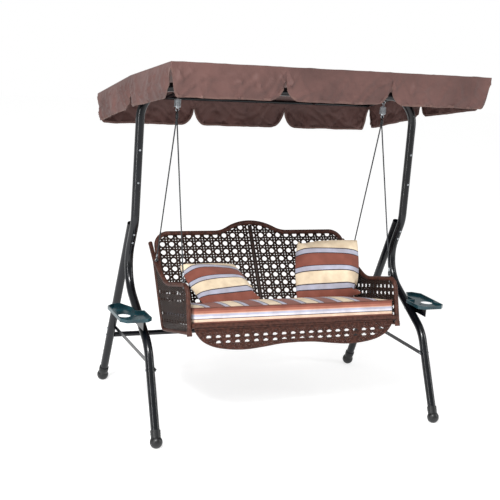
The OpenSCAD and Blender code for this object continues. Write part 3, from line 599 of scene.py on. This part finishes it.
# Outlines of the seat's side are (depth, height) from the front rail; bends are the corners' radii
ARM_TOP = 0.232
ARM_PATH = [(0, -0.04), (0.014, ARM_TOP), (0.385, ARM_TOP), (0.600, 0.366), (0.690, 0.485)]
ARM_BENDS = [0, 0.062, 0.220, 0.080, 0]
EDGE_PATH = [(0, -0.04), (0.4758, -0.04), (0.629, 0.405)]
EDGE_BENDS = [0, 0.050, 0]
BACK_H = 0.572                             # height of the back at its ends
HUMP = 0.066                               # rise of the hump in its middle
HUMP_HALF = 0.25                           # half the hump's width
HUMP_R = 0.18                              # radius of the bend at the hump's foot
HUMP_TURN = 2 * math.atan(HUMP / HUMP_HALF)
HUMP_TOP_R = HUMP_HALF / math.sin(HUMP_TURN) - HUMP_R - 0.012
HUMP_FOOT = HUMP_HALF - HUMP_R * math.tan(HUMP_TURN / 2)
BACK_PATH = [(-BACK_HALF, -0.01), (-BACK_HALF, BACK_H), (-HUMP_FOOT, BACK_H),
             (0, BACK_H + HUMP_FOOT * math.tan(HUMP_TURN)), (HUMP_FOOT, BACK_H), (BACK_HALF, BACK_H),
             (BACK_HALF, -0.01)]
BACK_BENDS = [0, 0.085, HUMP_R, HUMP_TOP_R, HUMP_R, 0.085, 0]


def on_side(side):
    """Turns a flat (depth, height) outline into the seat's side at an arm."""
    return SEAT @ Matrix(((0, 0, 1, side * ARM_X), (1, 0, 0, 0), (0, 1, 0, 0), (0, 0, 0, 1)))


# A flat (x, height) outline stood up in the back, or below the front rail
UPRIGHT = Matrix(((1, 0, 0, 0), (0, 0, -1, 0), (0, 1, 0, 0), (0, 0, 0, 1)))


def flat3(points):
    """Flat points as points in space, at height 0."""
    return [(p[0], p[1], 0) for p in points]


def wicker_tubes():
    """Tubes of the seat, each wrapped in strand."""
    for side, name in ((-1, "left"), (1, "right")):
        place = on_side(side)
        tube = wrapped_path(flat3(ARM_PATH), ARM_BENDS, ARM_R + 0.4 * MM, place, (0, 0, 1))
        edge = wrapped_path(flat3(EDGE_PATH), EDGE_BENDS, 9.4 * MM, place, (0, 0, 1))
        corner = wrapped_path([(-0.002, -0.056, 0), (0.001, -0.026, 0)], [0, 0], 15.5 * MM, place,
                              (0, 0, 1))
        finish_piece(f"arm_wrap_{name}", [tube, edge, corner], WICKER_RED,
                     f"arm_frame_{name}")
    back = wrapped_path(flat3(BACK_PATH), BACK_BENDS, BACK_R + 0.4 * MM, BACK @ UPRIGHT, (0, 0, 1))
    finish_piece("back_wrap", [back], WICKER_RED, "back_frame")
    low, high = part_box("back_center_bar")
    height = (Vector(high) - Vector(low)).z / math.cos(RECLINE + BACK_LEAN) - 0.012
    bar = wrapped_path([(0, 0.012, 0), (0, height, 0)], [0, 0], 13.6 * MM, BACK @ UPRIGHT, (1, 0, 0))
    finish_piece("center_wrap", [bar], WICKER, "back_center_bar")
    half = ARM_X - ARM_R - 0.6 * MM
    rail = wrapped_path([(-half, 0, 0), (half, 0, 0)], [0, 0], 14.3 * MM, SEAT, (0, 0, 1))
    finish_piece("front_rail_wrap", [rail], WICKER_RED, "seat_front_rail")


def finish_piece(name, parts, look, stands_for):
    """One piece of the seat from its parts, which stands for a piece of the frame if it has a name."""
    piece = merged(name, parts, look, 35)
    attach(piece, "seat")
    if stands_for:
        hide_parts(stands_for)


def runs(points, keep):
    """Splits a line into the stretches whose points are kept."""
    out, now = [], []
    for point in points:
        if keep(point[0], point[1]):
            now.append(point)
        elif now:
            out.append(now)
            now = []
    out.append(now)
    return [run for run in out if len(run) > 2]


def inside(outline):
    """Whether a point lies in a flat polygon."""
    def test(x, y):
        hit = False
        for (x0, y0), (x1, y1) in zip(outline, outline[1:] + outline[:1]):
            if (y0 > y) != (y1 > y) and x < x0 + (y - y0) * (x1 - x0) / (y1 - y0):
                hit = not hit
        return hit
    return test


def outline_of(points, radii):
    """A rounded outline as plain pairs of numbers."""
    return [(p.x, p.y) for p in rounded(flat3(points), radii, 0.02)]


def cane_back():
    """Open cane pattern: pairs of strands both ways and single diagonals, which leave round openings."""
    pitch_x, pitch_z = 0.0595, 0.0535
    wave = 1.1 * MM                        # how far a strand moves out where it crosses
    step_up, step_across = 0.0067, 0.0074  # between the points of an upright and of a level strand
    step_slant = 0.015                     # and of a slanting one, across the back
    outline = outline_of(BACK_PATH, BACK_BENDS)
    region = inside([(-BACK_HALF, -0.01)] + outline + [(BACK_HALF, -0.01)])
    x0, z0 = 0.068 - pitch_x / 2, 0.071 - pitch_z / 2
    for side, name in ((-1, "left"), (1, "right")):
        place = BACK @ UPRIGHT
        keep = lambda x, z: region(x, z) and x * side > 0.006 and z > 0.008
        parts = []

        def lay(points, width=CANE):
            for run in runs(points, keep):
                flat = (run[-1][0] - run[0][0], run[-1][1] - run[0][1])
                beside = place.to_3x3() @ Vector((-flat[1], flat[0], 0)).normalized()
                parts.append(ribbon(placed(run, place), beside, width, 1.7 * MM))

        for k in range(11):
            for offset in (-8.8 * MM, 8.8 * MM):
                x = side * (x0 + pitch_x * k + offset)
                sign = 1 if k % 2 else -1
                lay([(x, z * step_up, sign * wave * math.cos(math.pi * (z * step_up - z0) / pitch_z))
                     for z in range(100)])
        for k in range(12):
            for offset in (-7.8 * MM, 7.8 * MM):
                z = z0 + pitch_z * k + offset
                sign = -1 if k % 2 else 1
                lay([(side * x * step_across, z,
                      sign * wave * math.cos(math.pi * (x * step_across - x0) / pitch_x))
                     for x in range(90)], CANE * 0.85)
        for k in range(-12, 24):
            for lean in (1, -1):
                rise = lean * pitch_z / pitch_x
                level = lean * 2.0 * MM
                start = z0 + pitch_z * (k + 0.5)
                lay([(side * x * step_slant, start + rise * (x * step_slant - x0), level)
                     for x in range(46)], CANE * 0.95)
        finish_piece(f"cane_{name}", parts, WICKER, f"back_weave_{name}")


def basket(keep, place, wide, tall, row, stake, bow=2.2 * MM):
    """Close basket weave: rows of strand that pass in front of and behind upright stakes.

    wide and tall are the ends of the weave each way; row is the pitch of the strands, stake that of
    the stakes, and bow how far a strand moves out where it passes a stake.
    """
    parts = []
    beside_row = place.to_3x3() @ Vector((0, 1, 0))
    beside_stake = place.to_3x3() @ Vector((1, 0, 0))
    level = tall[0] + row / 2
    index = 0
    while level < tall[1]:
        count = round((wide[1] - wide[0]) / stake * 6)
        sign = 1 if index % 2 else -1
        line = [(wide[0] + stake * i / 6, level, sign * bow * math.cos(math.pi * i / 6))
                for i in range(count)]
        for run in runs(line, keep):
            parts.append(ribbon(placed(run, place), beside_row, row * 1.02, 2.0 * MM))
        level += row
        index += 1
    for k in range(round((wide[1] - wide[0]) / stake) + 1):
        x = wide[0] + stake * k
        line = [(x, tall[0] + 0.004 * i, 0) for i in range(round((tall[1] - tall[0]) / 0.004))]
        for run in runs(line, keep):
            parts.append(ribbon(placed(run, place), beside_stake, 5 * MM, 1.6 * MM))
    return parts


def side_panels():
    """Woven panels between the arm tube and the edge bar, with rows of small openings."""
    meeting = (0.6197, 0.3783)             # where the arm tube and the edge bar come together
    arm = outline_of(ARM_PATH[:3] + [meeting], ARM_BENDS[:3] + [0])
    low = outline_of(EDGE_PATH[:2] + [meeting], EDGE_BENDS)
    region = inside(low + arm[::-1])

    def keep(s, t):
        column = abs((s - 0.02) % 0.048 - 0.024) < 0.007
        row = any(abs(t - level) < 0.009 for level in (0.015, 0.057, 0.141, 0.183))
        return region(s, t) and not (column and row)

    for side, name in ((-1, "left"), (1, "right")):
        parts = basket(keep, on_side(side), (0.0, 0.64), (-0.04, 0.37), 6 * MM, 0.024)
        finish_piece(f"side_cane_{name}", parts, WICKER, f"side_weave_{name}")


# Lower edge of the apron's right half, as (x, height)
APRON = [(0, -0.115), (0.11, -0.119), (0.22, -0.132), (0.33, -0.141), (0.43, -0.136), (0.52, -0.119),
         (0.585, -0.088), (0.622, -0.048), (0.638, -0.014)]


def smooth_curve(points, count):
    """Points along a soft curve through the given ones."""
    points = [Vector((p[0], p[1], 0)) for p in points]
    padded = [2 * points[0] - points[1]] + points + [2 * points[-1] - points[-2]]
    out = []
    for i in range(1, len(padded) - 2):
        a, b, c, d = padded[i - 1:i + 3]
        for k in range(count):
            t = k / count
            out.append(0.5 * (2 * b + (c - a) * t + (2 * a - 5 * b + 4 * c - d) * t * t
                              + (3 * b - a - 3 * c + d) * t ** 3))
    return out + [points[-1]]


def apron():
    """Two-lobed woven skirt with two rows of openings and a braided lower edge."""
    half = smooth_curve(APRON, 8)
    edge = [Vector((-p.x, p.y, 0)) for p in reversed(half[1:])] + half
    region = inside([(p.x, p.y) for p in edge])

    def keep(x, t):
        off = abs(x) % 0.0585 - 0.029
        oval = any((off / 0.0135) ** 2 + ((t - level) / 0.0068) ** 2 < 1 for level in (-0.065, -0.096))
        return region(x, t) and t < -0.012 and not (oval and region(x, t - 0.02))

    place = SEAT @ UPRIGHT
    parts = basket(keep, place, (-0.66, 0.66), (-0.145, -0.012), 4.4 * MM, 0.0195, 1.9 * MM)
    finish_piece("apron_weave", parts, WICKER_RED, "apron")
    line = even(placed(edge, place), 3 * MM)
    braid = twisted(line, 2.6 * MM, 2.8 * MM, 0.022, place.to_3x3() @ Vector((0, 0, 1)))
    finish_piece("apron_braid", braid, WICKER_RED, None)
    top = [Vector((x * 0.637, -0.0185, 0)) for x in (-1, 1)]
    line = even(placed(top, place @ Matrix.Translation((0, 0, 4 * MM))), 3 * MM)
    braid = twisted(line, 2.2 * MM, 2.4 * MM, 0.02, place.to_3x3() @ Vector((0, 0, 1)))
    finish_piece("apron_top_braid", braid, WICKER_RED, None)


def deck():
    """Flat woven seat under the cushion."""
    half = ARM_X - ARM_R - 0.004
    level = Matrix.Translation((0, 0, 0.0092))
    keep = lambda x, s: abs(x) < half and 0.0143 < s < 0.4757
    parts = basket(keep, SEAT @ level, (-0.66, 0.66), (0.015, 0.476), 9 * MM, 0.03, 2 * MM)
    finish_piece("deck_weave", parts, WICKER, "seat_deck")


# ---------- ropes and springs ----------

def ropes():
    """Each rope is laid from three strands and spliced into an eye, with a crimped ferrule."""
    spread_y = 4.4 * MM                    # each rope from the middle of the rope head
    loop = 9 * MM                          # radius of the spliced eye
    tail = 2.5 * MM                        # from the eye's middle line to the end of the rope's box
    across = Vector((1, 0, 0))
    for side, name in ((-1, "left"), (1, "right")):
        head = Vector(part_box(f"rope_head_{name}")[0])
        for row, sign in (("front", -1), ("rear", 1)):
            low, high = (Vector(corner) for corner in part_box(f"{row}_rope_{name}"))
            start = Vector((side * ARM_X, sign * spread_y, head.z - 1.5 * MM))
            foot_y = low.y + loop + tail if row == "front" else high.y - loop - tail
            foot = Vector((side * ARM_X, foot_y, low.z + loop + tail))
            up = (start - foot).normalized()
            flat = across.cross(up)
            eye = [foot + flat * (loop * math.cos(a)) + up * (loop * math.sin(a))
                   for a in (math.radians(60 - 300 * k / 40) for k in range(41))]
            line = even([start, foot + up * 0.03] + eye + [foot + up * 0.024 + flat * 1.5 * MM], 3 * MM)
            strands = twisted(line, 2.05 * MM, 2.35 * MM, 0.03, across)
            cable = merged(f"{row}_cable_{name}", strands, ROPE, 60)
            crimp_line = even([foot + up * 0.013, foot + up * 0.034], 2 * MM)
            wall = lambda i, angle: (6.2 - 0.8 * (i % 3 == 1)) * MM
            crimp = merged(f"{row}_ferrule_{name}", [sweep(crimp_line, 16, wall, across)], ZINC, 40)
            for piece, slot in ((cable, "rope"), (crimp, "zinc_steel")):
                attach(piece, "seat")
            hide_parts(f"{row}_rope_{name}")


def springs():
    """Round-wire coils between the hooks, which stretch as the seat sinks on them."""
    wire = 3 * MM                          # radius of the wire
    turns, steps = 7, 28                   # turns of a coil, and points in each
    for name in ("left", "right"):
        low, high = (Vector(corner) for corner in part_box(f"spring_{name}"))
        coil = (high.x - low.x) / 2 - wire
        middle = (low + high) / 2
        line = []
        for i in range(turns * steps + 1):
            a = 2 * math.pi * i / steps
            z = low.z + wire + (high.z - low.z - 2 * wire) * i / (turns * steps)
            line.append(Vector((middle.x + coil * math.cos(a), middle.y + coil * math.sin(a), z)))
        tube = sweep(line, 12, lambda i, angle: wire, Vector((0, 0, 1)))
        piece = merged(f"coil_{name}", [tube], ZINC, 60)
        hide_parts(f"spring_{name}")
        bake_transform(piece)


# ---------- cushions ----------

def puff(piece, frames, pressure, pins, stiffness):
    """Blows the cloth up from inside; pins names the points that stay where they are, or is None."""
    scene = bpy.context.scene
    cloth = piece.modifiers.new("cloth", "CLOTH")
    settings = cloth.settings
    settings.quality = 6
    settings.mass = 0.3
    settings.tension_stiffness = settings.compression_stiffness = stiffness
    settings.shear_stiffness = 5
    settings.bending_stiffness = 0.5
    settings.use_pressure = True
    settings.uniform_pressure_force = pressure
    settings.effector_weights.gravity = 0
    if pins:
        settings.vertex_group_mass = pins
    cloth.point_cache.frame_end = frames
    for at in range(1, frames + 1):
        scene.frame_set(at)
    apply_modifiers(piece)
    scene.frame_set(1)


def cap(piece, before, most):
    """Keeps every point within a distance of where it started."""
    for vertex, start in zip(piece.data.vertices, before):
        move = vertex.co - start
        if move.length > most:
            vertex.co = start + move.normalized() * most


def pillow(name, matrix, width, thick):
    """A square pillow: two sheets joined at a knife edge, blown up, with puckers along the seam."""
    count = 44                             # faces along each side of a sheet
    half = width / 2
    bow = 0.075                            # the cut sides bow out by this share, and end up straight
    verts, faces, cloth = [], [], []
    for layer in (1, -1):
        for i in range(count + 1):
            for k in range(count + 1):
                x, y = -1 + 2 * i / count, -1 + 2 * k / count
                ease = (1 - abs(x) ** 3) * (1 - abs(y) ** 3)
                bow_x = 1 + bow * (1 - y * y) * x * x
                bow_y = 1 + bow * (1 - x * x) * y * y
                verts.append(Vector((x * half * bow_x, y * half * bow_y, layer * (0.5 + 12 * ease) * MM)))
                cloth.append((x * half, y * half))
        sheet = grid(count, count, len(verts) - (count + 1) ** 2)
        faces.extend(face if layer > 0 else face[::-1] for face in sheet)
    mesh = bpy.data.meshes.new(name)
    mesh.from_pydata(verts, [], faces)
    piece = link(bpy.data.objects.new(name, mesh))
    mesh.materials.append(CLOTH_PILLOW)
    chart = mesh.uv_layers.new(name="cloth")
    for loop in mesh.loops:
        chart.data[loop.index].uv = cloth[loop.vertex_index]
    outward(piece, weld=1.2 * MM)
    before = [v.co.copy() for v in mesh.vertices]
    puff(piece, 12, 4.0, None, 40)
    cap(piece, before, thick * 0.48)
    tall = max(v.co.z for v in piece.data.vertices)
    for vertex in piece.data.vertices:
        seam = max(0, 1 - (half - max(abs(vertex.co.x), abs(vertex.co.y))) / 0.05)
        along = vertex.co.x if abs(vertex.co.y) > abs(vertex.co.x) else vertex.co.y
        pucker = 2.2 * MM * math.sin(along * 190 + 5 * noise.noise(vertex.co * 9)) * seam
        vertex.co.z = vertex.co.z * thick / 2 / tall + pucker * (1 if vertex.co.z > 0 else -1)
    piece.data.transform(matrix)
    softened(piece)
    return piece


def pillows():
    """Two scatter pillows that lean against the back; lean and yaw are in degrees."""
    places = (("left", (-0.335, 0.390, 0.2263), 34, 8), ("right", (0.430, 0.450, 0.293), 66, -23))
    for name, centre, lean, yaw in places:
        turn = Matrix.Rotation(math.radians(yaw), 4, "Z") @ Matrix.Rotation(math.radians(lean), 4, "X")
        piece = pillow(f"scatter_pillow_{name}", SEAT @ Matrix.Translation(centre) @ turn, 0.42, 0.135)
        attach(piece, "seat")
        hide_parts(f"pillow_{name}")


CUSHION_HALF = 0.638                       # half its width
CUSHION_FRONT, CUSHION_BACK = -0.002, 0.484    # its ends, from the front rail
CUSHION_LOW = 0.0152                       # its underside, above the seat's level
CUSHION_H = 0.086                          # height of the boxing


def cushion():
    """A boxed seat cushion: striped top and bottom, a boxing strip round the side, and piped seams."""
    count_x, count_s = 84, 32
    verts, faces, cloth, looks = [], [], [], []

    def sheet(height, flip):
        start = len(verts)
        for i in range(count_x + 1):
            for k in range(count_s + 1):
                u, v = -1 + 2 * i / count_x, -1 + 2 * k / count_s
                x = u * CUSHION_HALF
                s = (CUSHION_FRONT + CUSHION_BACK) / 2 + v * (CUSHION_BACK - CUSHION_FRONT) / 2
                crown = (1 - abs(u) ** 14) * (1 - abs(v) ** 5) * (1 - flip) * 0.012
                verts.append(Vector((x, s, height + crown)))
        for face in grid(count_x, count_s, start):
            faces.append(face if not flip else face[::-1])
            cloth.append([(verts[j].x, verts[j].y) for j in faces[-1]])
            looks.append(0)
        return start

    top, bottom = sheet(CUSHION_LOW + CUSHION_H, 0), sheet(CUSHION_LOW, 1)
    last_x, last_s = count_x * (count_s + 1), count_s
    rim = ([i * (count_s + 1) for i in range(count_x + 1)] + [last_x + k for k in range(1, count_s + 1)]
           + [last_x + last_s - i * (count_s + 1) for i in range(1, count_x + 1)]
           + [last_s - k for k in range(1, count_s)])
    rows, rim_step = 7, 0.015              # rows of the boxing, and the length of one of its faces
    strips = [[top + j for j in rim]]
    for r in range(1, rows):
        strips.append(list(range(len(verts), len(verts) + len(rim))))
        for j in rim:
            verts.append(verts[top + j].lerp(verts[bottom + j], r / rows))
    strips.append([bottom + j for j in rim])
    for r in range(rows):
        for k in range(len(rim)):
            n = (k + 1) % len(rim)
            faces.append((strips[r][k], strips[r + 1][k], strips[r + 1][n], strips[r][n]))
            left, right = k * rim_step, k * rim_step + rim_step
            above, below = BOXING_HEIGHT * r / rows, BOXING_HEIGHT * (r + 1) / rows
            cloth.append([(left, above), (left, below), (right, below), (right, above)])
            looks.append(1)
    mesh = bpy.data.meshes.new("bench_cushion")
    mesh.from_pydata(verts, [], faces)
    piece = link(bpy.data.objects.new("bench_cushion", mesh))
    mesh.materials.append(CLOTH_ACROSS)
    mesh.materials.append(CLOTH_BOXING)
    chart = mesh.uv_layers.new(name="cloth")
    for face, corners, look in zip(mesh.polygons, cloth, looks):
        face.material_index = look
        for loop, uv in zip(face.loop_indices, corners):
            chart.data[loop].uv = uv
    seams = piece.vertex_groups.new(name="seams")
    seams.add([top + j for j in rim] + [bottom + j for j in rim], 1.0, "REPLACE")
    outward(piece)
    before = [v.co.copy() for v in mesh.vertices]
    puff(piece, 18, 5.0, "seams", 25)
    cap(piece, before, 0.014)
    for vertex in piece.data.vertices:
        vertex.co.z = max(vertex.co.z, CUSHION_LOW)
    piece.data.transform(SEAT)
    softened(piece)
    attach(piece, "seat")
    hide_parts("seat_cushion")
    cords = []
    for start in (top, bottom):
        line = even([SEAT @ verts[start + j] for j in rim] + [SEAT @ verts[start + rim[0]]], 8 * MM)[:-1]
        upward = SEAT.to_3x3() @ Vector((0, 0, 1))
        cords.append(sweep(line, 8, lambda i, angle: 3.2 * MM, upward, closed=True))
    cord = merged("cushion_piping", cords, PIPING, 60)
    chart = cord.data.uv_layers.new(name="cloth")
    for loop in cord.data.loops:
        chart.data[loop.index].uv = (cord.data.vertices[loop.vertex_index].co.x, 0)
    outward(cord)
    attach(cord, "seat")


# ---------- stage ----------

def stage():
    """A pale floor under a soft white sky, with three lamps whose streaks show the gloss of the tubes."""
    bpy.ops.object.select_all(action="DESELECT")
    bpy.ops.mesh.primitive_plane_add(size=40)
    floor = bpy.context.object
    floor.name = "floor"
    pale = material("pale_floor", Base_Color=colour("#d0d0d0"), Roughness=0.9,
                    Emission_Color=colour("#ffffff"), Emission_Strength=0.66)
    floor.data.materials.append(pale[0])
    world = bpy.data.worlds.new("studio")
    bpy.context.scene.world = world
    world.use_nodes = True
    seen = node(world.node_tree, "ShaderNodeLightPath").outputs["Is Camera Ray"]
    sky = world.node_tree.nodes["Background"].inputs
    sky["Color"].default_value = colour("#ffffff")
    node(world.node_tree, "ShaderNodeMapRange", {"Value": seen, "To Min": 0.5, "To Max": 1.0},
         sky["Strength"])
    lamps = (("key", (-3.2, -4.0, 5.5), 1.2, 1.2, 380),
             ("strip", (-4.6, -2.6, 2.2), 0.4, 4.0, 90),
             ("fill", (5.0, -3.0, 3.0), 0.7, 3.5, 80))
    for name, place, wide, tall, power in lamps:
        lamp = bpy.data.lights.new(name, "AREA")
        lamp.shape = "RECTANGLE"
        lamp.size, lamp.size_y = wide, tall
        lamp.energy = power
        obj = link(bpy.data.objects.new(name, lamp))
        obj.location = place
        obj.rotation_mode = "QUATERNION"
        obj.rotation_quaternion = (Vector((0, 0, 1)) - Vector(place)).to_track_quat("-Z", "Y")
    bpy.context.scene.view_settings.view_transform = "Standard"


def camera():
    """The camera stands in front of the swing, towards -X, a little higher than the canopy."""
    data = bpy.data.cameras.new("camera")
    data.sensor_width = 36
    data.lens = 77.98
    data.clip_end = 100
    view = link(bpy.data.objects.new("camera", data))
    view.location = (-2.700, -5.888, 2.388)
    view.rotation_mode = "QUATERNION"
    aim = Vector((0.3875, 0.8960, -0.2168)).to_track_quat("-Z", "Y")
    view.rotation_quaternion = aim @ Quaternion((0, 0, 1), math.radians(4.25))
    bpy.context.scene.camera = view


camera()
stage()
finish_nodes()
canopy()
wicker_tubes()
cane_back()
side_panels()
apron()
deck()
ropes()
springs()
cushion()
pillows()
